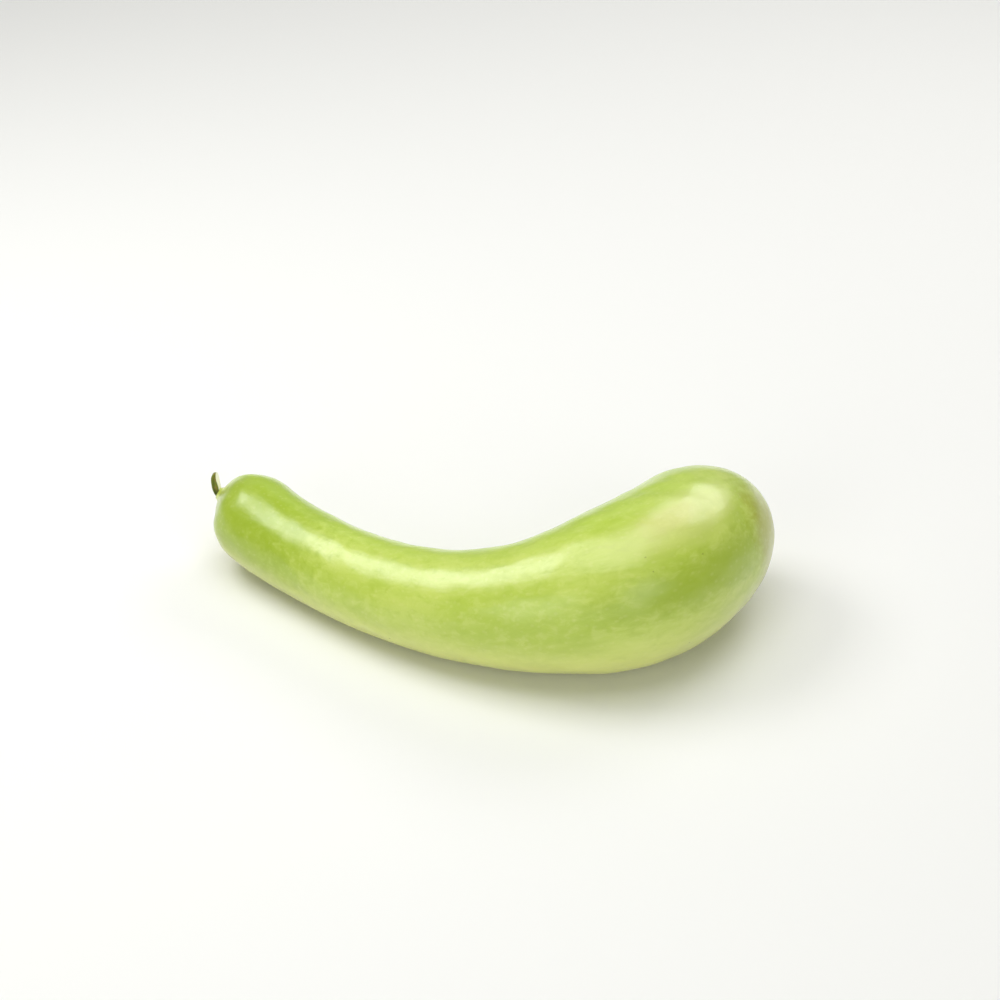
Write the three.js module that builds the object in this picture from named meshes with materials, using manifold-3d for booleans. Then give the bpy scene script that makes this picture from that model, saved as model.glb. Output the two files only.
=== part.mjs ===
// A bottle gourd lying on its side: a curved fruit with a slim neck and a full belly,
// and the short stem stub that it was cut from the vine by.
// Millimetres, +Z up. The gourd rests on z = 0 and the origin is under the middle of its box.
import * as THREE from "three";
import { ParametricGeometry } from "three/addons/geometries/ParametricGeometry.js";
import { mergeVertices } from "three/addons/utils/BufferGeometryUtils.js";
import Module from "manifold-3d";

const wasm = await Module();
wasm.setup();

// ---------- driving dimensions ----------

// The fruit: places along its middle line from the stem end to the blossom end.
// x, y and z are the middle of the fruit there, and radius is half its thickness.
const STATIONS = [
  { x: -167.5, y: 72, z: 39, radius: 29 },
  { x: -160, y: 68, z: 37, radius: 29 },
  { x: -141.5, y: 51.5, z: 31.5, radius: 28.5 },
  { x: -114, y: 28, z: 27.6, radius: 28 },
  { x: -78, y: -1, z: 28, radius: 28.5 },
  { x: -2, y: -39, z: 35.4, radius: 35 },
  { x: 36, y: -44, z: 41.6, radius: 41.5 },
  { x: 72, y: -39, z: 47.5, radius: 48.5 },
  { x: 100, y: -23, z: 49, radius: 50 },
  { x: 124, y: 5, z: 48, radius: 48 },
  { x: 162, y: 50, z: 49, radius: 46 },
];

// Each end closes in a rounded cap: how long it is, and how full its shoulder is
// (2 is an ellipse, more is squarer).
const STEM_CAP = { length: 33.5, fullness: 2 };
const BLOSSOM_CAP = { length: 67, fullness: 2.35 };

// A low knob with a flat seat of a given radius carries the stem, and its flanks spread out
// over its own radius. The seat looks a little higher than the fruit's end does.
// Shallow pleats fan out from the knob.
const KNOB = { height: 3.2, seatRadius: 3.75, radius: 3.8 };
const SEAT_FACING = new THREE.Vector3(-0.87, 0.23, 0.37).normalize();
const PLEATS = { count: 10, depth: 0.3, start: 5, reach: 34 };

// The scar where the flower was: a dimple with a small button in it.
const SCAR = { dimpleDepth: 0.9, dimpleRadius: 7, buttonHeight: 0.9, buttonRadius: 2.5 };

// A grown fruit is never quite round: slow swells, some two to a turn and some three, that
// wind round it as they go along it. Each has a height and the length over which it winds on.
const SWELLS = [
  { count: 2, height: 0.21, winding: 37 },
  { count: 3, height: 0.14, winding: -29 },
];

// Sides around the fruit, and rings on the stem cap, the long middle and the blossom cap.
// The rings of a cap crowd towards its pole: 1 would space them by equal angles.
const FRUIT_SIDES = 48;
const RINGS = { stemCap: 16, middle: 40, blossomCap: 18, crowding: 1.4 };

// The stem stub, as places measured from the middle of the knob's seat: it is rooted
// just inside the knob, leans out and curves upright, and ends in a rounded tip.
const STEM_ROOT = new THREE.Vector3(2.5, -1.6, -0.5);
const STEM_BEND = new THREE.Vector3(-2, 0.7, 1.8);
const STEM_TIP = new THREE.Vector3(-0.5, 0.9, 14.8);
const STEM = { radius: 2.9, tipLength: 5, tipFullness: 2, ridges: 5, ridgeDepth: 0.2 };
// The room that its socket leaves all round the stem.
const STEM_GAP = 0.3;
const STEM_SIDES = 25;
const STEM_RINGS = 18;

// The long slanting knife cut that took it off the vine: the direction that the cut face looks
// in, and how far that face stands from the middle of the tip. It ends at the knob's skin.
const STEM_CUT = { facing: new THREE.Vector3(0.955, -0.18, 0.17).normalize(), offset: 0.2 };

// Corners closer together than this are one corner.
const SAME_PLACE = 1e-5;
// Half the stretch of middle line that its direction is measured over.
const HALF_STEP = 0.5;
// The side of a block that is bigger than the whole gourd.
const BLOCK_SIZE = 600;

// ---------- helpers ----------

// A smooth curve through given values, with no bend at its two ends (a natural cubic spline).
function naturalSpline(knots, values) {
  const n = knots.length;
  const gap = knots.slice(1).map((knot, i) => knot - knots[i]);
  const slope = gap.map((g, i) => (values[i + 1] - values[i]) / g);
  const carry = new Array(n).fill(0);
  const bend = new Array(n).fill(0);
  for (let i = 1; i < n - 1; i++) {
    const pivot = 2 * (gap[i - 1] + gap[i]) - gap[i - 1] * carry[i - 1];
    carry[i] = gap[i] / pivot;
    bend[i] = (6 * (slope[i] - slope[i - 1]) - gap[i - 1] * bend[i - 1]) / pivot;
  }
  for (let i = n - 2; i > 0; i--) bend[i] -= carry[i] * bend[i + 1];
  return (at) => {
    const passed = knots.filter((knot) => knot < at).length;
    const i = THREE.MathUtils.clamp(passed - 1, 0, n - 2);
    const left = (knots[i + 1] - at) / gap[i];
    const right = (at - knots[i]) / gap[i];
    const cubic = (left ** 3 - left) * bend[i] + (right ** 3 - right) * bend[i + 1];
    return left * values[i] + right * values[i + 1] + (cubic * gap[i] ** 2) / 6;
  };
}

// How far a rounded cap has opened at a share of its length, from 0 at the pole to 1.
function capOpening(share, fullness) {
  const inward = 1 - THREE.MathUtils.clamp(share, 0, 1);
  return Math.sqrt(Math.max(0, 1 - inward ** fullness));
}

// The share of a cap's length at which it has opened to the sine of an angle.
function capShare(angle, fullness) {
  return 1 - Math.max(0, Math.cos(angle)) ** (2 / fullness);
}

// A round bump of height 1 that has sunk to a third at its radius.
const bump = (distance, radius) => Math.exp(-((distance / radius) ** 2));

// One closed mesh from a grid: shared corners merged and collapsed triangles dropped.
function closedGeometry(geometry) {
  geometry.deleteAttribute("normal");
  geometry.deleteAttribute("uv");
  const merged = mergeVertices(geometry, SAME_PLACE);
  const index = merged.getIndex().array;
  const kept = [];
  for (let i = 0; i < index.length; i += 3) {
    const [a, b, c] = index.slice(i, i + 3);
    if (a !== b && b !== c && c !== a) kept.push(a, b, c);
  }
  merged.setIndex(kept);
  return merged;
}

function toSolid(geometry) {
  return new wasm.Manifold(
    new wasm.Mesh({
      numProp: 3,
      vertProperties: new Float32Array(geometry.getAttribute("position").array),
      triVerts: new Uint32Array(geometry.getIndex().array),
    }),
  );
}

function toGeometry(solid) {
  const mesh = solid.getMesh();
  const geometry = new THREE.BufferGeometry();
  geometry.setAttribute("position", new THREE.BufferAttribute(mesh.vertProperties, 3));
  geometry.setIndex(new THREE.BufferAttribute(mesh.triVerts, 1));
  return geometry;
}

// A block that begins at the plane through a point and fills the side that the plane's facing
// looks to: taking it away leaves only what is behind that plane.
function blockBeyond(point, facing) {
  const block = new THREE.BoxGeometry(BLOCK_SIZE, BLOCK_SIZE, BLOCK_SIZE);
  block.translate(0, 0, BLOCK_SIZE / 2);
  const turn = new THREE.Quaternion().setFromUnitVectors(new THREE.Vector3(0, 0, 1), facing);
  block.applyQuaternion(turn).translate(point.x, point.y, point.z);
  return toSolid(closedGeometry(block));
}

// ---------- the middle line of the fruit ----------

const knots = [0];
for (let i = 1; i < STATIONS.length; i++) {
  const [from, to] = [STATIONS[i - 1], STATIONS[i]];
  knots.push(knots[i - 1] + Math.hypot(to.x - from.x, to.y - from.y, to.z - from.z));
}
const LENGTH = knots.at(-1);

const lineX = naturalSpline(knots, STATIONS.map((station) => station.x));
const lineY = naturalSpline(knots, STATIONS.map((station) => station.y));
const lineZ = naturalSpline(knots, STATIONS.map((station) => station.z));
const thickness = naturalSpline(knots, STATIONS.map((station) => station.radius));

// The middle line's point and three directions at a distance from the stem end:
// along the fruit, level across it, and up out of it.
function lineAt(distance) {
  const point = (at) => new THREE.Vector3(lineX(at), lineY(at), lineZ(at));
  const along = point(distance + HALF_STEP).sub(point(distance - HALF_STEP)).normalize();
  const across = along.clone().cross(new THREE.Vector3(0, 0, 1)).normalize();
  const up = across.clone().cross(along);
  return { middle: point(distance), along, across, up };
}

// ---------- the fruit ----------

// The half thickness at a distance from the stem end and an angle around the fruit.
function fruitRadius(distance, angle) {
  const fromBlossom = LENGTH - distance;
  let swell = 0;
  for (const { count, height, winding } of SWELLS) {
    swell += height * Math.sin(count * angle + distance / winding);
  }
  const fan = THREE.MathUtils.smoothstep(distance, 0, PLEATS.start);
  const fade = 1 - THREE.MathUtils.smoothstep(distance, PLEATS.start, PLEATS.reach);
  const pleat = PLEATS.depth * fan * fade * Math.cos(PLEATS.count * angle);
  return (
    (thickness(distance) + swell + pleat) *
    capOpening(distance / STEM_CAP.length, STEM_CAP.fullness) *
    capOpening(fromBlossom / BLOSSOM_CAP.length, BLOSSOM_CAP.fullness)
  );
}

// How far the skin near the two poles is pushed along the middle line:
// back over the knob at the stem end, and in and out over the scar at the other.
function endRelief(distance, radius) {
  const knobPeak = KNOB.height / bump(KNOB.seatRadius, KNOB.radius);
  if (distance < STEM_CAP.length) return -knobPeak * bump(radius, KNOB.radius);
  if (distance < LENGTH - BLOSSOM_CAP.length) return 0;
  return (
    SCAR.buttonHeight * bump(radius, SCAR.buttonRadius) -
    SCAR.dimpleDepth * bump(radius, SCAR.dimpleRadius)
  );
}

// Rings stand close together at the two poles, where the shape turns quickly.
function ringDistance(ring) {
  const middleLength = LENGTH - STEM_CAP.length - BLOSSOM_CAP.length;
  if (ring <= RINGS.stemCap) {
    const angle = (Math.PI / 2) * (ring / RINGS.stemCap) ** RINGS.crowding;
    return STEM_CAP.length * capShare(angle, STEM_CAP.fullness);
  }
  if (ring <= RINGS.stemCap + RINGS.middle) {
    return STEM_CAP.length + (middleLength * (ring - RINGS.stemCap)) / RINGS.middle;
  }
  const left = RINGS.stemCap + RINGS.middle + RINGS.blossomCap - ring;
  const angle = (Math.PI / 2) * (left / RINGS.blossomCap) ** RINGS.crowding;
  return LENGTH - BLOSSOM_CAP.length * capShare(angle, BLOSSOM_CAP.fullness);
}

// The whole fruit with its flats, before the stem's socket goes into it.
function bareFruit() {
  const ringCount = RINGS.stemCap + RINGS.middle + RINGS.blossomCap;
  const skin = (u, v, target) => {
    const distance = ringDistance(Math.round(v * ringCount));
    const angle = -2 * Math.PI * (u % 1);
    const { middle, along, across, up } = lineAt(distance);
    const radius = fruitRadius(distance, angle);
    target
      .copy(middle)
      .addScaledVector(along, endRelief(distance, radius))
      .addScaledVector(across, radius * Math.cos(angle))
      .addScaledVector(up, radius * Math.sin(angle));
  };
  const whole = toSolid(closedGeometry(new ParametricGeometry(skin, FRUIT_SIDES, ringCount)));
  const floor = blockBeyond(new THREE.Vector3(0, 0, 0), new THREE.Vector3(0, 0, -1));
  const aboveSeat = blockBeyond(stemSeat(), SEAT_FACING);
  return whole.subtract(floor).subtract(aboveSeat);
}

// The middle of the small flat on the knob that the stem stands on.
function stemSeat() {
  const { middle, along } = lineAt(0);
  return middle.addScaledVector(along, -KNOB.height);
}

// ---------- the stem ----------

function stemLine() {
  const seat = stemSeat();
  const places = [STEM_ROOT, STEM_BEND, STEM_TIP].map((place) => place.clone().add(seat));
  return new THREE.QuadraticBezierCurve3(...places);
}

// The stem before it is cut, or with some room all round it, the socket that it stands in.
function stemTube(room) {
  const line = stemLine();
  const length = line.getLength();
  const level = line.getTangent(0).cross(new THREE.Vector3(0, 0, 1)).normalize();
  const skin = (u, v, target) => {
    // The first ring is the middle of the foot, and the tip closes to a point by itself.
    const ring = Math.round(v * (STEM_RINGS + 1)) - 1;
    const share = Math.sin(((Math.PI / 2) * Math.max(ring, 0)) / STEM_RINGS);
    const angle = -2 * Math.PI * (u % 1);
    const along = line.getTangentAt(share);
    const across = level.clone().addScaledVector(along, -level.dot(along)).normalize();
    const up = across.clone().cross(along);
    const ridge = STEM.ridgeDepth * Math.cos(STEM.ridges * angle);
    const opening = capOpening(((1 - share) * length) / STEM.tipLength, STEM.tipFullness);
    const radius = ring < 0 ? 0 : (STEM.radius + ridge + room) * opening;
    const sink = share === 0 ? room : 0;
    target
      .copy(line.getPointAt(share))
      .addScaledVector(along, -sink)
      .addScaledVector(across, radius * Math.cos(angle))
      .addScaledVector(up, radius * Math.sin(angle));
  };
  return toSolid(closedGeometry(new ParametricGeometry(skin, STEM_SIDES, STEM_RINGS + 1)));
}

// The stem without what the knife took away. Inside the fruit it stays whole.
function cutStem(around) {
  const cutPoint = stemLine().getPoint(1).addScaledVector(STEM_CUT.facing, STEM_CUT.offset);
  const beyondCut = blockBeyond(cutPoint, STEM_CUT.facing);
  return stemTube(0).subtract(beyondCut.subtract(around));
}

// ---------- the part ----------

const skinMaterial = new THREE.MeshStandardMaterial({ color: 0xa9c95a, roughness: 0.38 });
const stemMaterial = new THREE.MeshStandardMaterial({ color: 0x6b7d24, roughness: 0.7 });

const bare = bareFruit();

const fruit = new THREE.Mesh(toGeometry(bare.subtract(stemTube(STEM_GAP))), skinMaterial);
fruit.name = "gourd_fruit";

const stem = new THREE.Mesh(toGeometry(cutStem(bare)), stemMaterial);
stem.name = "stem";

const gourd = new THREE.Group();
gourd.add(fruit, stem);

// The middle of the box goes over the origin, and the rest faces stay on z = 0.
const middle = new THREE.Box3().setFromObject(gourd).getCenter(new THREE.Vector3());
gourd.position.set(-middle.x, -middle.y, 0);

export default gourd;
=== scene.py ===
# %% [markdown]
# # A bottle gourd
# A bottle gourd is the fruit of a climbing vine. This one lies on its side: a slim neck,
# bent by its own growth, swells into a full belly, and a stub of the vine's stalk stays at the
# neck. The CAD model holds its shape and size. This script gives it a finer skin of the same
# form, and the colours, gloss and small marks of a fresh fruit.

import bpy
import numpy as np
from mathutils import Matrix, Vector


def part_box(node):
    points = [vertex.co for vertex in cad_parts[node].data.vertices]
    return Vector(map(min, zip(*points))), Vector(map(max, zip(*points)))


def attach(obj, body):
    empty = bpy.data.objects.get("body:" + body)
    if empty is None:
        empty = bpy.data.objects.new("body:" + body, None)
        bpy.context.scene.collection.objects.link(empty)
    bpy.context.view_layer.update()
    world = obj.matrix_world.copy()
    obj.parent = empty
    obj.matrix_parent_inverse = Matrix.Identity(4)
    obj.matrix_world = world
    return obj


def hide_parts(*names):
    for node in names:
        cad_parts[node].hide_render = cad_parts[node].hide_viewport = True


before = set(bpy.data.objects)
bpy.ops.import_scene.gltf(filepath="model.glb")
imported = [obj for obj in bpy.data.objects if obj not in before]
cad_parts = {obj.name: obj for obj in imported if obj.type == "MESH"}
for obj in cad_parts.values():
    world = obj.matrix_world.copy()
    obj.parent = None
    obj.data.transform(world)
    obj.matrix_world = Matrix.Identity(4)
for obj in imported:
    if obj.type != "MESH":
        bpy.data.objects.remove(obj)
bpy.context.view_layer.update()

# %% [markdown]
# ## The middle line
# The whole fruit is drawn round one curved line, from the stem end to the blossom end. Eleven
# places on it are given, each with half the fruit's thickness there, and a smooth curve passes
# through all of them. A natural cubic spline is the curve that a thin springy strip takes when
# it is held at those places, so it bends as gently as it can.

# %% A springy curve through given values
MM = 0.001


def spring_curve(knots, values):
    """A natural cubic spline. Between two knots it is the straight mix of their values, plus
    a cubic term for each end: (share cubed - share) times that end's bend times the gap
    squared over six. The bends are those that join each span to the next without a kink."""
    gap = np.diff(knots)
    slope = np.diff(values, axis=0) / gap[:, None]
    inner = np.arange(1, len(knots) - 1)
    system = np.eye(len(knots))
    system[inner, inner - 1] = gap[:-1]
    system[inner, inner] = 2 * (gap[:-1] + gap[1:])
    system[inner, inner + 1] = gap[1:]
    wanted = np.zeros_like(values)
    wanted[inner] = 6 * np.diff(slope, axis=0)
    bend = np.linalg.solve(system, wanted)

    def at(distance):
        i = np.clip(np.searchsorted(knots, distance) - 1, 0, len(gap) - 1)
        right = ((distance - knots[i]) / gap[i])[..., None]
        left = 1 - right
        cubic = (left**3 - left) * bend[i] + (right**3 - right) * bend[i + 1]
        straight = left * values[i] + right * values[i + 1]
        return straight + cubic * (gap[i] ** 2)[..., None] / 6

    return at


# %% The stations of this fruit
# Each row is x, y, z and half the thickness, in millimetres.
STATIONS = MM * np.array([
    [-167.5, 72, 39, 29],
    [-160, 68, 37, 29],
    [-141.5, 51.5, 31.5, 28.5],
    [-114, 28, 27.6, 28],
    [-78, -1, 28, 28.5],
    [-2, -39, 35.4, 35],
    [36, -44, 41.6, 41.5],
    [72, -39, 47.5, 48.5],
    [100, -23, 49, 50],
    [124, 5, 48, 48],
    [162, 50, 49, 46],
])

steps = np.linalg.norm(np.diff(STATIONS[:, :3], axis=0), axis=1)
knots = np.concatenate([[0], np.cumsum(steps)])
LENGTH = knots[-1]
fruit_line = spring_curve(knots, STATIONS)
print(f"the fruit is {1000 * LENGTH:.0f} mm long along its middle line")


# %% Directions along and around the line
def directions(distance):
    """Three unit directions at places on the line: along it, from one point half a millimetre
    before to one as far after; across it and level; and up, at right angles to both."""
    step = 0.5 * MM
    along = fruit_line(distance + step)[..., :3] - fruit_line(distance - step)[..., :3]
    along /= np.linalg.norm(along, axis=-1, keepdims=True)
    across = np.cross(along, [0, 0, 1])
    across /= np.linalg.norm(across, axis=-1, keepdims=True)
    return along, across, np.cross(across, along)


# %% [markdown]
# ## The skin
# Round the line the skin is nearly a circle. It closes in a rounded cap at each end, swells a
# little more to one side than to another, has slow shallow dents of no fixed pattern, and
# gathers in shallow pleats where it meets the stalk. A low knob carries the stalk, and at the
# far end a small scar shows where the flower was. All of that is one formula for the distance
# of the skin from the line, and one for how far the skin is pushed along the line near the two
# ends, so it is computed for all points at once instead of being pulled about by hand.

# %% Rounded caps, bumps and soft steps
STEM_CAP = {"length": 33.5 * MM, "fullness": 2}
BLOSSOM_CAP = {"length": 67 * MM, "fullness": 2.35}
CAP_CROWDING = 1.4


def cap_opening(distance, cap):
    """The share of its full width that a cap has at a distance from its pole: the square root
    of 1 - (1 - distance over length) to the power of its fullness. 2 gives an ellipse."""
    inward = 1 - np.clip(distance / cap["length"], 0, 1)
    return np.sqrt(np.maximum(0, 1 - inward ** cap["fullness"]))


def cap_places(cap, count, crowd):
    """Distances from the pole that stand closer together near it: the cap is cut at equal
    steps of an angle, raised to the power crowd, and the angle's sine is the opening there."""
    angle = np.pi / 2 * (np.arange(1, count + 1) / count) ** crowd
    return cap["length"] * (1 - np.maximum(0, np.cos(angle)) ** (2 / cap["fullness"]))


def bump(distance, radius):
    """1 in the middle, sinking to 0.37 at the radius: e to the power of minus the square of
    distance over radius."""
    return np.exp(-((distance / radius) ** 2))


def soft_step(value, start, end):
    """0 before start, 1 after end, and 3 t squared - 2 t cubed between them."""
    t = np.clip((value - start) / (end - start), 0, 1)
    return t * t * (3 - 2 * t)


# %% Swells and folds
# A swell has a number to a turn, a height, and the length over which it winds on by a radian.
SWELLS = [
    {"count": 2, "height": 0.21 * MM, "winding": 37 * MM},
    {"count": 3, "height": 0.14 * MM, "winding": -29 * MM},
]
PLEAT = {"count": 10, "depth": 0.3 * MM, "start": 5 * MM, "reach": 34 * MM, "lean": 0}
WRINKLE = {"count": 29, "depth": 0.1 * MM, "start": 2 * MM, "reach": 15 * MM, "lean": 0.6}


def folds(distance, angle, fold):
    """Folds that fan out from the stem: the cosine of the angle times their count, rising to
    full depth at their start and fading out at their reach. A lean crowds them together at
    three places round the fruit."""
    rise = soft_step(distance, 0, fold["start"])
    fade = 1 - soft_step(distance, fold["start"], fold["reach"])
    lean = fold["lean"] * np.sin(3 * angle + 1)
    return fold["depth"] * rise * fade * np.cos(fold["count"] * angle + lean)


# %% Slow dents
DENT = {"waves": 30, "share": 0.0025, "counts": (3, 14), "lengths": (18 * MM, 60 * MM)}
draw = np.random.default_rng(5)
dent_count = draw.integers(*DENT["counts"], DENT["waves"])
dent_length = draw.choice([-1, 1], DENT["waves"]) * draw.uniform(*DENT["lengths"], DENT["waves"])
dent_start = draw.uniform(0, 2 * np.pi, DENT["waves"])


def dents(distance, angle):
    """Slow dents of no fixed pattern, as a share of the thickness: the sum of many waves,
    each with its own whole number to a turn, its own length along the fruit and its own
    starting angle, all drawn from one seed. Divided by the square root of half their number,
    the sum has a spread of 1, so about two thirds of the skin stays within the given share."""
    waves = zip(dent_count, dent_length, dent_start)
    total = sum(
        np.cos(count * angle + 2 * np.pi * distance / length + start)
        for count, length, start in waves
    )
    return DENT["share"] * total / np.sqrt(DENT["waves"] / 2)


# %% Half the thickness of the skin everywhere
def skin_distance(distance, angle):
    """Half the thickness plus the swells, each its height times the sine of its count times
    the angle plus the distance over its winding. That is multiplied by one plus the dents, and
    the folds are added. All of it is multiplied by the opening of both caps."""
    thick = fruit_line(distance)[..., 3]
    for swell in SWELLS:
        wound = swell["count"] * angle + distance / swell["winding"]
        thick = thick + swell["height"] * np.sin(wound)
    thick = thick * (1 + dents(distance, angle))
    thick = thick + folds(distance, angle, PLEAT) + folds(distance, angle, WRINKLE)
    opened = cap_opening(distance, STEM_CAP) * cap_opening(LENGTH - distance, BLOSSOM_CAP)
    return thick * opened


# %% How far the two ends are pushed along the line
# The seat is the flat that the stalk stands on, and its facing is the way that flat looks.
KNOB = {"height": 3.2 * MM, "seat": 3.75 * MM, "radius": 3.8 * MM}
SEAT_FACING = np.array([-0.87, 0.23, 0.37])
SEAT_FACING /= np.linalg.norm(SEAT_FACING)
DIMPLE = {"depth": 0.9 * MM, "radius": 7 * MM}
BUTTON = {"height": 0.9 * MM, "radius": 2.5 * MM}
PIT = {"depth": 0.5 * MM, "radius": 0.8 * MM}
CREASE = {"count": 17, "depth": 0.07 * MM, "lean": 1.6, "uneven": 0.3}
stem_pole = fruit_line(np.array(0.0))[:3]
stem_along = directions(np.array(0.0))[0]
seat_point = stem_pole - stem_along * KNOB["height"]


def knob_push(radius, base, away):
    """A bump that pushes the skin out of the stem end, away from the fruit. It is cut flat by
    the plane of the seat: no point goes further than the gap between it and that plane,
    measured square to the plane and divided by how squarely it moves towards it."""
    peak = KNOB["height"] / bump(KNOB["seat"], KNOB["radius"])
    room = (seat_point - base) @ SEAT_FACING / (away @ SEAT_FACING)
    return np.minimum(peak * bump(radius, KNOB["radius"]), room)


def scar_push(radius, angle):
    """A dimple with a button in it, a pit in the button, and fine creases round it, deepest
    two button radii out. Their spacing varies twice to a turn and their length three times."""
    scar = BUTTON["height"] * bump(radius, BUTTON["radius"])
    scar -= DIMPLE["depth"] * bump(radius, DIMPLE["radius"])
    scar -= PIT["depth"] * bump(radius, PIT["radius"])
    turn = CREASE["count"] * angle + CREASE["lean"] * np.sin(2 * angle)
    reach = 1 + CREASE["uneven"] * np.sin(3 * angle + 2)
    crease = bump(radius - 2 * BUTTON["radius"], BUTTON["radius"] * reach) * np.cos(turn)
    return scar + CREASE["depth"] * crease


# %% Points of the whole skin
SIDES = 256
RINGS = {"stem_cap": 70, "middle": 150, "blossom_cap": 84}


def skin_points(distance, angle):
    """The line's point, plus the skin's distance times the cosine of the angle across and its
    sine up, plus the push along the line. What would go below the floor is laid on it."""
    along, across, up = directions(distance)
    radius = skin_distance(distance, angle)
    sideways = across * np.cos(angle)[..., None] + up * np.sin(angle)[..., None]
    base = fruit_line(distance)[..., :3] + sideways * radius[..., None]
    at_stem = distance < STEM_CAP["length"]
    at_blossom = distance > LENGTH - BLOSSOM_CAP["length"]
    at_ends = np.where(at_blossom, scar_push(radius, angle), 0)
    push = np.where(at_stem, -knob_push(radius, base, -along), at_ends)
    point = base + along * push[..., None]
    point[..., 2] = np.maximum(point[..., 2], 0)
    return point, radius


stem_rings = cap_places(STEM_CAP, RINGS["stem_cap"], CAP_CROWDING)
blossom_rings = LENGTH - cap_places(BLOSSOM_CAP, RINGS["blossom_cap"], CAP_CROWDING)[::-1]
middle_rings = np.linspace(stem_rings[-1], blossom_rings[0], RINGS["middle"] + 1)[1:-1]
ring_distance = np.concatenate([stem_rings, middle_rings, blossom_rings])
ring_distance, side_angle = np.meshgrid(
    ring_distance, np.arange(SIDES) * 2 * np.pi / SIDES, indexing="ij"
)
skin, skin_radius = skin_points(ring_distance, side_angle)
poles, _ = skin_points(np.array([0.0, LENGTH]), np.zeros(2))
print(f"{skin.shape[0]} rings of {skin.shape[1]} points")
dent_depth = np.abs(dents(ring_distance, side_angle)) * skin_radius
print(f"the dents reach {1000 * dent_depth.max():.2f} mm")

# %% [markdown]
# ## From points to pieces
# A grid of points becomes a closed skin when each ring is joined to the next by four-sided
# faces, and the first and last rings run to a single point. Every piece here is such a tube,
# so one function makes them all. Each point also carries where it is on the straightened
# piece: how far along, and how far out in two directions. A pattern that reads those numbers
# follows the bend as a real skin's streaks do, and has no seam.


# %% A closed skin from rings
def closed_skin(name, first, rings, last, straightened):
    """Joins rings in order. Point side of ring r has the number 1 + r times the sides + side,
    and the two poles are the first and the last number. straightened holds one triple for
    each of those points."""
    ring_count, sides = rings.shape[:2]
    points = np.concatenate([first[None], rings.reshape(-1, 3), last[None]])
    here = 1 + np.arange(ring_count * sides).reshape(ring_count, sides)
    beside = np.roll(here, -1, axis=1)
    walls = np.stack([here[:-1], here[1:], beside[1:], beside[:-1]], axis=-1)
    start = np.stack([np.zeros(sides, int), here[0], beside[0]], axis=-1)
    end = np.stack([np.full(sides, len(points) - 1), beside[-1], here[-1]], axis=-1)
    faces = walls.reshape(-1, 4).tolist() + start.tolist() + end.tolist()
    mesh = bpy.data.meshes.new(name)
    mesh.from_pydata(points.tolist(), [], faces)
    mesh.polygons.foreach_set("use_smooth", np.ones(len(faces), bool))
    place = mesh.attributes.new("straightened", "FLOAT_VECTOR", "POINT")
    place.data.foreach_set("vector", straightened.astype(np.float32).ravel())
    piece = bpy.data.objects.new(name, mesh)
    bpy.context.scene.collection.objects.link(piece)
    print(f"{name}: {len(faces)} faces")
    return piece


def straight_places(distance, radius, angle, far_end):
    """(distance, radius times cosine, radius times sine), with the poles on the axis."""
    inner = np.stack([distance, radius * np.cos(angle), radius * np.sin(angle)], axis=-1)
    return np.concatenate([[[0, 0, 0]], inner.reshape(-1, 3), [[far_end, 0, 0]]])


# %% [markdown]
# ## The fruit in its place
# The line's numbers are in the drawing's own frame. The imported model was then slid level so
# that its box stands over the origin, so the fine skin is slid by the same amount: the
# difference between the middles of the two boxes.

# %% The fruit
cad_low, cad_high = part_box("gourd_fruit")
fruit_low, fruit_high = skin.min(axis=(0, 1)), skin.max(axis=(0, 1))
slide = (np.array(cad_low) + np.array(cad_high) - fruit_low - fruit_high) / 2
slide[2] = 0
print("slid by", np.round(1000 * slide, 2), "mm")

gourd = closed_skin(
    "gourd_skin_fine",
    poles[0] + slide,
    skin + slide,
    poles[1] + slide,
    straight_places(ring_distance, skin_radius, side_angle, LENGTH),
)
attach(gourd, "root")
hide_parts("gourd_fruit")

# %% [markdown]
# ## The stalk
# The stub grows out of the knob, leans outward and curves upright. It is a tube round a bent
# path, with five soft ridges and finer fibres. A knife took it off the vine in one
# slanting stroke, so one side of it is pale and nearly flat: every point beyond the plane of
# the cut is laid on that plane or, away from the rim, a little behind it.

# %% The path of the stalk
# Its root, its bend and its tip, in millimetres from the middle of the seat.
STALK_PLACES = MM * np.array([[2.5, -1.6, -0.5], [-2, 0.7, 1.8], [-0.5, 0.9, 14.8]])
ROOT, BEND, TIP = seat_point + slide + STALK_PLACES
PATH_STEPS = 400


def stalk_line(share):
    """A point of the path at a share of its length. The path is (1 - t) squared times the
    root, plus 2 t (1 - t) times the bend, plus t squared times the tip, and t is looked up
    from the length that many short steps add up to. Also its direction and whole length."""
    t = np.linspace(0, 1, PATH_STEPS + 1)[:, None]
    points = (1 - t) ** 2 * ROOT + 2 * t * (1 - t) * BEND + t**2 * TIP
    run = np.concatenate([[0], np.cumsum(np.linalg.norm(np.diff(points, axis=0), axis=1))])
    t = np.interp(share * run[-1], run, t[:, 0])[..., None]
    point = (1 - t) ** 2 * ROOT + 2 * t * (1 - t) * BEND + t**2 * TIP
    along = (1 - t) * (BEND - ROOT) + t * (TIP - BEND)
    return point, along / np.linalg.norm(along, axis=-1, keepdims=True), run[-1]


# %% The stalk's own skin
STALK = {"radius": 2.9 * MM, "ridges": 5, "ridge_depth": 0.2 * MM}
STALK_TIP = {"length": 5 * MM, "fullness": 2}
STALK_SIDES, STALK_RINGS = 160, 150
# Fibres: a number to a turn, a depth, and how far they follow the waver.
FIBRES = [(21, 0.05 * MM, 1), (34, 0.03 * MM, -2)]
# The waver is two waves, each with a swing in radians, a length and a start.
WAVER = [(0.6, 1.7 * MM, 0), (0.4, 0.9 * MM, 1)]


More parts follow.
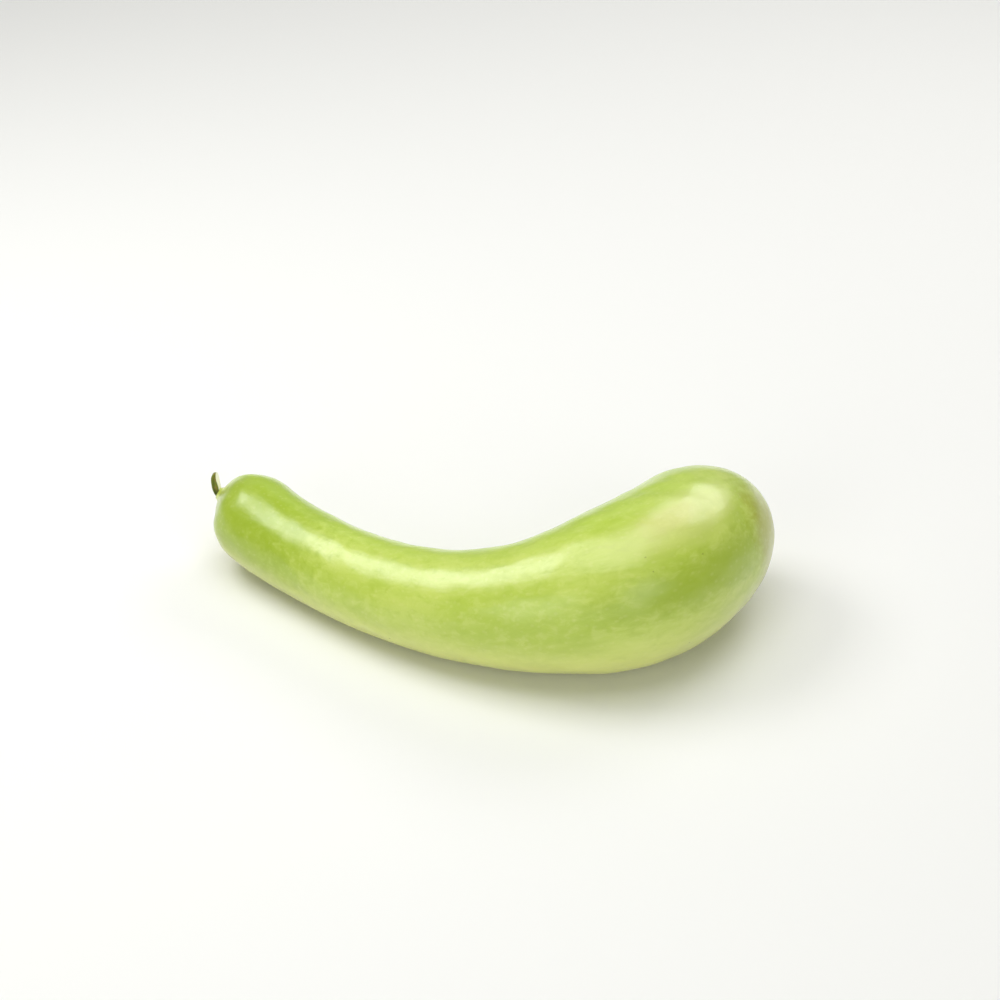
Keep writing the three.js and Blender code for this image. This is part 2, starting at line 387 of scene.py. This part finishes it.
def stalk_distance(distance, angle, length):
    """The radius, five ridges, and fine fibres that waver as they run up, times the opening
    of the rounded tip. Also the ridges and fibres by themselves, which the finish reads."""
    ridge = STALK["ridge_depth"] * np.cos(STALK["ridges"] * angle)
    waver = sum(swing * np.sin(distance / run + start) for swing, run, start in WAVER)
    fibre = sum(depth * np.cos(count * angle + tied * waver) for count, depth, tied in FIBRES)
    opened = cap_opening(length - distance, STALK_TIP)
    return (STALK["radius"] + ridge + fibre) * opened, ridge + fibre


# The rings stand closer together towards the tip. The direction across is level at the root,
# and elsewhere as near to that one as the path allows.
share = np.sin(np.pi / 2 * np.arange(STALK_RINGS) / STALK_RINGS)
share, stalk_angle = np.meshgrid(
    share, np.arange(STALK_SIDES) * 2 * np.pi / STALK_SIDES, indexing="ij"
)
path, path_along, stalk_length = stalk_line(share)
level = np.cross(path_along[0, 0], [0, 0, 1])
level /= np.linalg.norm(level)
across = level - path_along * (path_along @ level)[..., None]
across /= np.linalg.norm(across, axis=-1, keepdims=True)
up = np.cross(across, path_along)
stalk_radius, stalk_relief = stalk_distance(share * stalk_length, stalk_angle, stalk_length)
around = across * np.cos(stalk_angle)[..., None] + up * np.sin(stalk_angle)[..., None]
stalk = path + around * stalk_radius[..., None]
print(f"the stalk is {1000 * stalk_length:.1f} mm long")

# %% The slanting cut
CUT_FACING = np.array([0.955, -0.18, 0.17])
CUT_FACING /= np.linalg.norm(CUT_FACING)
CUT_OFFSET = 0.2 * MM
HOLLOW = {"depth": 0.15 * MM, "rim": 0.1 * MM, "floor": 1.2 * MM}


def lay_on_cut(points):
    """Points beyond the plane of the cut go back to it, straight along its facing. The pith
    has dried a little, so the face is hollowed between its rim and its floor, which are given
    by how far the points had stood beyond the plane."""
    beyond = (points - TIP) @ CUT_FACING - CUT_OFFSET
    hollow = HOLLOW["depth"] * soft_step(beyond, HOLLOW["rim"], HOLLOW["floor"])
    back = np.where(beyond > 0, beyond + hollow, 0)
    return points - back[..., None] * CUT_FACING, np.maximum(beyond, 0)


stalk, cut_depth = lay_on_cut(stalk)
stalk_end, tip_depth = lay_on_cut(TIP[None])
print(f"the cut took off up to {1000 * cut_depth.max():.2f} mm")

# %% The stalk in its place
stub = closed_skin(
    "stem_fine",
    ROOT,
    stalk,
    stalk_end[0],
    straight_places(share * stalk_length, stalk_radius, stalk_angle, stalk_length),
)
cut = stub.data.attributes.new("cut_depth", "FLOAT", "POINT")
cut.data.foreach_set(
    "value", np.concatenate([[0], cut_depth.ravel(), tip_depth]).astype(np.float32)
)
relief = stub.data.attributes.new("relief", "FLOAT", "POINT")
relief.data.foreach_set(
    "value", np.concatenate([[0], stalk_relief.ravel(), [0]]).astype(np.float32)
)
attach(stub, "root")
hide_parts("stem")

# %% [markdown]
# ## Building finishes from nodes
# A finish is a small network: coordinates go into noise, noise into soft steps, and those
# choose between colours. The same few kinds of node come again and again, so each has a
# short function. A colour is given as the eye sees it, from 0 to 255, and turned into the
# light that the shader works in.


# %% Node helpers
def seen(red, green, blue):
    """Light for a seen colour: each share c of 255 becomes ((c + 0.055) / 1.055) to the 2.4."""
    share = np.array([red, green, blue]) / 255
    return (*(((share + 0.055) / 1.055) ** 2.4), 1)


def new_finish(name):
    """A material, its network and its surface shader."""
    finish = bpy.data.materials.new(name)
    finish.use_nodes = True
    return finish, finish.node_tree, finish.node_tree.nodes["Principled BSDF"]


def set_values(surface, values):
    """Gives a surface's sockets their plain values, by name."""
    for name, value in values.items():
        surface.inputs[name].default_value = value


def add(net, kind, inputs=(), **settings):
    """A node of a kind, with its own settings. Each input is a number, a colour or the output
    of another node, by the socket's name or number."""
    made = net.nodes.new("ShaderNode" + kind)
    for key, value in settings.items():
        setattr(made, key, value)
    for key, value in dict(inputs).items():
        if isinstance(value, bpy.types.NodeSocket):
            net.links.new(value, made.inputs[key])
        else:
            made.inputs[key].default_value = value
    return made


def step_between(net, value, start, end, low=0.0, high=1.0):
    """A soft step of a value from low to high."""
    sockets = {"Value": value, "From Min": start, "From Max": end, "To Min": low, "To Max": high}
    return add(net, "MapRange", sockets, interpolation_type="SMOOTHSTEP").outputs["Result"]


def maths(net, operation, first, second=0.0):
    """One step of arithmetic on two numbers."""
    return add(net, "Math", {0: first, 1: second}, operation=operation).outputs[0]


def mixed(net, share, first, second):
    """The first colour, turning into the second as the share goes from 0 to 1. Numbers 6 and
    7 are the mix node's two colour inputs, and its output 2 is the mixed colour."""
    return add(net, "Mix", {"Factor": share, 6: first, 7: second}, data_type="RGBA").outputs[2]


def stretched(net, place, along, around):
    """Places on the straightened piece, scaled by one number along it and one around it."""
    sockets = {"Vector": place, "Scale": (along, around, around)}
    return add(net, "Mapping", sockets).outputs["Vector"]


def noise(net, place, scale, detail=2, roughness=0.5, distortion=0):
    """Cloudy noise, mostly between 0.3 and 0.7. A scale of 100 makes clouds about a centimetre
    wide, and each step of detail adds clouds half as wide."""
    sockets = {"Vector": place, "Scale": scale, "Detail": detail, "Roughness": roughness}
    sockets["Distortion"] = distortion
    return add(net, "TexNoise", sockets).outputs["Fac"]


# %% [markdown]
# ## The rind
# Fresh rind is a pale yellow green under a thin coat of natural wax. Close to, it is never one
# colour: soft clouds of deeper and paler green a few centimetres wide, mottles and faint
# streaks drawn out along the fruit, small pale flecks, and now and then a dark speck. It is
# paler underneath, partly where it lay on the ground out of the sun and partly as painted light
# bounced up from the floor, and creamier on the belly, partly where it ripened first and partly
# as a painted highlight. Painted shade darkens the stem end and a band along the belly, and
# deepens the dull olive of the blossom end.

# %% Places on the rind
rind, net, surface = new_finish("gourd_rind")
straight = add(net, "Attribute", attribute_name="straightened").outputs["Vector"]

# %% Clouds and streaks
DEEP, LEAF, PALE = seen(164, 188, 55), seen(183, 204, 76), seen(204, 217, 114)
clouds = noise(net, stretched(net, straight, 0.6, 1), scale=32, detail=3)
colour = mixed(net, step_between(net, clouds, 0.3, 0.7), DEEP, PALE)
colour = mixed(net, 0.55, colour, LEAF)
place = stretched(net, straight, 0.8, 1)
mottles = noise(net, place, scale=170, detail=4, roughness=0.6, distortion=0.4)
colour = mixed(net, step_between(net, mottles, 0.48, 0.68, high=0.4), colour, PALE)
colour = mixed(net, step_between(net, mottles, 0.5, 0.3, high=0.4), colour, DEEP)
place = stretched(net, straight, 0.4, 1)
streaks = noise(net, place, scale=120, detail=3, roughness=0.55, distortion=0.3)
colour = mixed(net, step_between(net, streaks, 0.5, 0.7, high=0.18), colour, PALE)
colour = mixed(net, step_between(net, streaks, 0.5, 0.3, high=0.18), colour, DEEP)
print("clouds, mottles and streaks:", len(net.nodes), "nodes")


# %% Patches of tone: the fruit's own, painted shade and a painted highlight
# A patch is whole within the first share of its half sizes and gone beyond the second.
PATCH_WHOLE, PATCH_GONE = 0.4, 1.25


def patch(net, centre, half_length, half_width):
    """A soft-edged patch of skin: how far a place is from its centre, counted in half lengths
    and half widths, with the mottles added to make the edge ragged, and a soft step down from
    1 to 0. All in millimetres on the straightened fruit."""
    away = {0: straight, 1: tuple(MM * np.array(centre))}
    away = add(net, "VectorMath", away, operation="SUBTRACT").outputs["Vector"]
    sizes = tuple(1 / (MM * np.array([half_length, half_width, half_width])))
    away = add(net, "VectorMath", {0: away, 1: sizes}, operation="MULTIPLY").outputs["Vector"]
    away = add(net, "VectorMath", {0: away}, operation="LENGTH").outputs["Value"]
    ragged = maths(net, "SUBTRACT", mottles, 0.5)
    return step_between(net, maths(net, "ADD", away, ragged), PATCH_GONE, PATCH_WHOLE)


CREAM, BLUSH = seen(220, 222, 140), seen(226, 214, 150)
# The second colour on the next line is a dark green for painted shade.
PAINTED_SHADE_GREEN, OLIVE = seen(148, 173, 28), seen(164, 166, 36)
# Each row is a centre, a half length, a half width, a strength and a tone.
PATCHES = [
    # The stem end: a deeper green of its own, darkened further by painted shade.
    ((30, 0, 0), 80, 60, 0.8, PAINTED_SHADE_GREEN),
    # Creamier skin on the belly: partly its own tone, partly a painted highlight.
    ((318, 17, 46), 42, 18, 0.4, CREAM),
    ((309, 13, 48), 20, 10, 0.25, BLUSH),
    # A band of painted shade along the belly, below its highlight.
    ((314, 45, 22), 58, 17, 0.6, PAINTED_SHADE_GREEN),
    # The blossom end's own dull olive, made stronger as painted shade on the far rim.
    ((374, 38, 10), 26, 34, 0.8, OLIVE),
]
for centre, half_length, half_width, strength, tone in PATCHES:
    share = maths(net, "MULTIPLY", patch(net, centre, half_length, half_width), strength)
    colour = mixed(net, share, colour, tone)
print(len(PATCHES), "patches")

# %% Deeper green inside the bend, and the pale underside, partly painted bounce light
# Which way a place looks from the fruit's axis: Y is across it and Z is up, both from -1 to 1.
parts = add(net, "SeparateXYZ", {0: straight})
off_axis = add(net, "CombineXYZ", {"Y": parts.outputs["Y"], "Z": parts.outputs["Z"]})
off_axis = add(net, "VectorMath", {0: off_axis.outputs["Vector"]}, operation="NORMALIZE")
facing = add(net, "SeparateXYZ", {0: off_axis.outputs["Vector"]})
INNER_GREEN, GROUND_SPOT_AND_BOUNCE = seen(176, 208, 54), seen(220, 222, 130)
# A deeper, more saturated green on the inside of the bend.
inner_side = step_between(net, facing.outputs["Y"], 0.35, -0.6, high=0.55)
colour = mixed(net, inner_side, colour, INNER_GREEN)
# Paler underneath: partly a ground spot of its own, partly painted light bounced up from the floor.
under = step_between(net, facing.outputs["Z"], 0.25, -0.85, high=0.85)
colour = mixed(net, under, colour, GROUND_SPOT_AND_BOUNCE)

# %% Flecks and specks
# Both sit in the middle of scattered cells, so many to a metre. Each cell has a chance number,
# and only cells whose number is high have a speck.
FLECKS_TO_A_METRE, SPECK_CELLS_TO_A_METRE = 260, 90
SPECK_CHANCE = (0.86, 0.88)
DARK_SPECK = seen(96, 104, 30)
cells = add(net, "TexVoronoi", {"Vector": straight, "Scale": FLECKS_TO_A_METRE})
fleck = step_between(net, cells.outputs["Distance"], 0.34, 0.12, high=0.12)
colour = mixed(net, fleck, colour, CREAM)
cells = add(net, "TexVoronoi", {"Vector": straight, "Scale": SPECK_CELLS_TO_A_METRE})
rare = add(net, "SeparateColor", {0: cells.outputs["Color"]}).outputs["Red"]
rare = step_between(net, rare, *SPECK_CHANCE)
speck = maths(net, "MULTIPLY", rare, step_between(net, cells.outputs["Distance"], 0.07, 0.03))
colour = mixed(net, maths(net, "MULTIPLY", speck, 0.5), colour, DARK_SPECK)

# %% [markdown]
# ## The two ends of the rind
# Round the stalk the skin turns a paler yellow green. At the other end, the scar of the flower
# is a button of brown cork, with a dull ring round it.

# %% The pale ring round the stalk, and dark lines in it
# As many lines as wrinkles fan out from the stalk, and the mottles push them aside.
RING = {"inner": 5 * MM, "outer": 24 * MM, "strength": 0.6, "tone": seen(212, 222, 112)}
LINES = {"inner": 5 * MM, "outer": 15 * MM, "strength": 0.25, "waver": 9}
from_stem = add(net, "VectorMath", {0: straight}, operation="LENGTH").outputs["Value"]
ring = step_between(net, from_stem, RING["outer"], RING["inner"], high=RING["strength"])
colour = mixed(net, ring, colour, RING["tone"])
turn = maths(net, "ARCTAN2", parts.outputs["Z"], parts.outputs["Y"])
lines = maths(net, "MULTIPLY", turn, WRINKLE["count"])
lines = maths(net, "ADD", lines, maths(net, "MULTIPLY", mottles, LINES["waver"]))
lines = step_between(net, maths(net, "COSINE", lines), 0.3, -1)
near = step_between(net, from_stem, LINES["outer"], LINES["inner"], high=LINES["strength"])
colour = mixed(net, maths(net, "MULTIPLY", lines, near), colour, DEEP)

# %% The scar of the flower
# Three rings round the scar, each whole within its inner radius and gone at its outer one. The
# crumbs draw the edges of the last two inward, by up to the crumble.
DULL = {"inner": 5 * MM, "outer": 30 * MM, "strength": 0.45, "tone": seen(186, 186, 86)}
BROWN = {"inner": 3.6 * MM, "outer": 5.2 * MM, "strength": 0.6, "tone": seen(150, 132, 66)}
CORK = {"inner": 3.1 * MM, "outer": 3.6 * MM, "dark": seen(82, 58, 32), "light": seen(172, 142, 96)}
CRUMBLE = 1.6 * MM
from_scar = add(net, "VectorMath", {0: straight, 1: (LENGTH, 0, 0)}, operation="DISTANCE")
from_scar = from_scar.outputs["Value"]
dull = step_between(net, from_scar, DULL["outer"], DULL["inner"], high=DULL["strength"])
colour = mixed(net, dull, colour, DULL["tone"])
crumbs = noise(net, straight, scale=1800, detail=3, roughness=0.7)
edge = maths(net, "ADD", from_scar, maths(net, "MULTIPLY", crumbs, CRUMBLE))
brown = step_between(net, edge, BROWN["outer"], BROWN["inner"], high=BROWN["strength"])
colour = mixed(net, brown, colour, BROWN["tone"])
corky = step_between(net, edge, CORK["outer"], CORK["inner"])
colour = mixed(net, corky, colour, mixed(net, crumbs, CORK["dark"], CORK["light"]))
net.links.new(colour, surface.inputs["Base Color"])
print("colours of the rind:", len(net.nodes), "nodes")

# %% [markdown]
# ## Gloss and relief of the rind
# The wax gives a soft gloss, a little uneven where it has been rubbed. Under it the skin rises
# and falls a little every centimetre or so, which gives highlights their ragged edges, and it
# has a fine grain. Light also sinks a few millimetres into the flesh and comes out again,
# which softens all shadows.

# %% Gloss, relief and depth
WAXY, RUBBED, CORK_ROUGHNESS = 0.34, 0.44, 0.85
rubbed = noise(net, stretched(net, straight, 0.5, 1), scale=60, detail=3, roughness=0.6)
gloss = step_between(net, rubbed, 0.35, 0.7, low=WAXY, high=RUBBED)
rough = maths(net, "MAXIMUM", gloss, maths(net, "MULTIPLY", corky, CORK_ROUGHNESS))
net.links.new(rough, surface.inputs["Roughness"])
uneven = noise(net, stretched(net, straight, 0.5, 1), scale=110, detail=3)
lumps = add(net, "Bump", {"Height": uneven, "Distance": 0.6 * MM, "Strength": 0.7})
grain = noise(net, stretched(net, straight, 0.4, 1), scale=900, detail=3, roughness=0.6)
grained = {"Height": grain, "Distance": 0.05 * MM, "Strength": 0.5}
grained = add(net, "Bump", {**grained, "Normal": lumps.outputs["Normal"]})
for layer in ("Normal", "Coat Normal"):
    net.links.new(grained.outputs["Normal"], surface.inputs[layer])
set_values(surface, {
    "IOR": 1.45,
    "Specular IOR Level": 0.3,
    "Coat Weight": 1,
    "Coat Roughness": 0.27,
    "Subsurface Weight": 0.15,
    "Subsurface Radius": (0.9, 1.0, 0.25),
    "Subsurface Scale": 3 * MM,
})
gourd.data.materials.append(rind)
print("rind:", len(net.nodes), "nodes")

# %% [markdown]
# ## The stalk's finish
# The stalk is dull and fibrous: olive green, darkest where it leaves the knob, lighter on its
# ridges, with a few brown patches where it has dried. The knife's cut shows the pale pith,
# with a thin green rim and fine fibres.

# %% Fibres and patches of the stalk
stalk_rind, net, surface = new_finish("stalk_rind")
straight = add(net, "Attribute", attribute_name="straightened").outputs["Vector"]
DARK_FIBRE, LIGHT_FIBRE, RIDGE_TOP = seen(58, 68, 8), seen(122, 134, 34), seen(144, 156, 62)
DRIED, DARK_FOOT = seen(150, 116, 62), seen(46, 54, 4)
place = stretched(net, straight, 0.08, 1)
fibres = noise(net, place, scale=2600, detail=3, roughness=0.65, distortion=0.2)
colour = mixed(net, fibres, DARK_FIBRE, LIGHT_FIBRE)
raised = add(net, "Attribute", attribute_name="relief").outputs["Fac"]
raised = step_between(net, raised, -0.2 * MM, 0.25 * MM, high=0.5)
colour = mixed(net, raised, colour, RIDGE_TOP)
blotches = noise(net, stretched(net, straight, 0.6, 1), scale=330, detail=3, roughness=0.6)
colour = mixed(net, step_between(net, blotches, 0.56, 0.68, high=0.6), colour, DRIED)
reach = add(net, "SeparateXYZ", {0: straight}).outputs["X"]
colour = mixed(net, step_between(net, reach, 8 * MM, 3 * MM, high=0.5), colour, DARK_FOOT)
print("fibres and patches:", len(net.nodes), "nodes")

# %% The pale face of the cut
PITH, PALE_PITH, GREEN_RIM = seen(244, 240, 214), seen(255, 254, 244), seen(196, 204, 120)
depth = add(net, "Attribute", attribute_name="cut_depth").outputs["Fac"]
strands = noise(net, stretched(net, straight, 0.15, 1), scale=3000)
pith = mixed(net, strands, PITH, PALE_PITH)
pith = mixed(net, step_between(net, depth, 0.1 * MM, 0.04 * MM, high=0.5), pith, GREEN_RIM)
colour = mixed(net, step_between(net, depth, 0, 0.06 * MM), colour, pith)
net.links.new(colour, surface.inputs["Base Color"])

# %% Dull surface of the stalk
fine = add(net, "Bump", {"Height": fibres, "Distance": 0.12 * MM, "Strength": 0.6})
net.links.new(fine.outputs["Normal"], surface.inputs["Normal"])
set_values(surface, {
    "Roughness": 0.6,
    "Specular IOR Level": 0.25,
    "Subsurface Weight": 0.08,
    "Subsurface Radius": (1.0, 0.9, 0.4),
    "Subsurface Scale": 0.8 * MM,
})
stub.data.materials.append(stalk_rind)
print("stalk:", len(net.nodes), "nodes")

# %% [markdown]
# ## Floor, light and camera
# The gourd lies on a plain pale floor, as in a studio. Shape reads best where a large
# soft light meets a rounded form, so there are few hard edges here. A box high on the left
# draws the long highlight along the back, and one behind to the right crowns the belly. A wide
# panel overhead and two in front fill the shadows, a low strip lights the lower side, and
# a weak one far behind lifts the top edge. One narrow lamp picks out the pale face of the cut.

# %% A plain pale floor
# Its half width, in metres, keeps its edge out of sight in views from 15 degrees up or more.
FLOOR_HALF = 40
corners = [(FLOOR_HALF * x, FLOOR_HALF * y, 0) for x, y in ((-1, -1), (1, -1), (1, 1), (-1, 1))]
floor_mesh = bpy.data.meshes.new("floor")
floor_mesh.from_pydata(corners, [], [(0, 1, 2, 3)])
floor = bpy.data.objects.new("floor", floor_mesh)
bpy.context.scene.collection.objects.link(floor)
paint, net, surface = new_finish("floor_paint")
set_values(surface, {"Base Color": seen(238, 238, 234), "Roughness": 0.7})
floor.data.materials.append(paint)
print(f"the floor is {2 * FLOOR_HALF} m wide")


# %% Soft lights
def hang(name, lamp, place, aim):
    """Puts a lamp at a place and turns it to shine at what it aims at."""
    holder = bpy.data.objects.new(name, lamp)
    holder.location = place
    holder.rotation_euler = (Vector(aim) - Vector(place)).to_track_quat("-Z", "Y").to_euler()
    bpy.context.scene.collection.objects.link(holder)


# Each row is a name, a place and an aim in metres, a width, a depth and the power in watts.
SOFT_LIGHTS = [
    ("left_box", (-0.72, 0.24, 1.0), (-0.05, 0, 0.04), 0.7, 0.45, 6.2),
    ("back_box", (0.78, 0.98, 1.0), (0.08, 0, 0.05), 0.85, 0.5, 5.2),
    ("rear_strip", (0.1, 1.7, 1.0), (0.08, 0, 0.05), 1.6, 0.4, 1),
    ("top_panel", (0, 0, 2), (0, 0, 0.04), 1.7, 1.7, 20.5),
    ("front_left", (-1.1, -1.8, 1.0), (0, 0, 0.04), 1, 1, 7.9),
    ("front_right", (1.0, -1.6, 1.0), (0, 0, 0.04), 1, 1, 6.5),
    ("front_low", (0, -1.8, 0.3), (0, 0, 0.04), 2.4, 0.5, 4),
]
for name, place, aim, width, depth, power in SOFT_LIGHTS:
    lamp = bpy.data.lights.new(name, "AREA")
    lamp.shape = "RECTANGLE"
    lamp.size, lamp.size_y = width, depth
    lamp.energy = power
    hang(name, lamp, place, aim)
print(len(SOFT_LIGHTS), "soft lights,", sum(row[-1] for row in SOFT_LIGHTS), "watts")

# %% The narrow lamp for the cut
# It hangs on the side that the cut looks to, and its narrow cone lights little but the stalk.
CUT_LAMP = {"watts": 16, "radius": 20 * MM, "cone": np.radians(2.3), "below_tip": 3 * MM}
CUT_LAMP_STANDS = 0.6 * Vector((0.85, 0.25, 0.46))
cut_middle = Vector(TIP) - Vector((0, 0, CUT_LAMP["below_tip"]))
cut_lamp = bpy.data.lights.new("cut_lamp", "SPOT")
cut_lamp.energy = CUT_LAMP["watts"]
cut_lamp.shadow_soft_size = CUT_LAMP["radius"]
cut_lamp.spot_size = CUT_LAMP["cone"]
cut_lamp.spot_blend = 1
hang("cut_lamp", cut_lamp, cut_middle + CUT_LAMP_STANDS, cut_middle)
print("the lamp for the cut:", CUT_LAMP["watts"], "watts")

# %% The surround: a pale wall low down, and dimmer above
# The wall's top is the sine of how high it reaches.
WALL, ABOVE, WALL_TOP = 0.34, 0.19, 0.2
world = bpy.data.worlds.new("studio")
world.use_nodes = True
net, backdrop = world.node_tree, world.node_tree.nodes["Background"]
looking = add(net, "SeparateXYZ", {0: add(net, "TexCoord").outputs["Generated"]})
glow = step_between(net, looking.outputs["Z"], WALL_TOP, 0, low=ABOVE, high=WALL)
net.links.new(glow, backdrop.inputs["Strength"])
backdrop.inputs["Color"].default_value = (1, 1, 1, 1)
bpy.context.scene.world = world
bpy.context.scene.view_settings.view_transform = "Standard"

# %% The camera
# Its aim and distance are in metres, and it looks down by the tilt.
AIM = Vector((0.0074, 0.0666, 0.040))
TILT, DISTANCE, LENS = np.radians(35), 1.4, 80
camera = bpy.data.objects.new("camera", bpy.data.cameras.new("camera"))
camera.data.lens = LENS
camera.location = AIM + DISTANCE * Vector((0, -np.cos(TILT), np.sin(TILT)))
camera.rotation_euler = (AIM - camera.location).to_track_quat("-Z", "Y").to_euler()
bpy.context.scene.collection.objects.link(camera)
bpy.context.scene.camera = camera
print("the camera stands at", [round(value, 3) for value in camera.location])
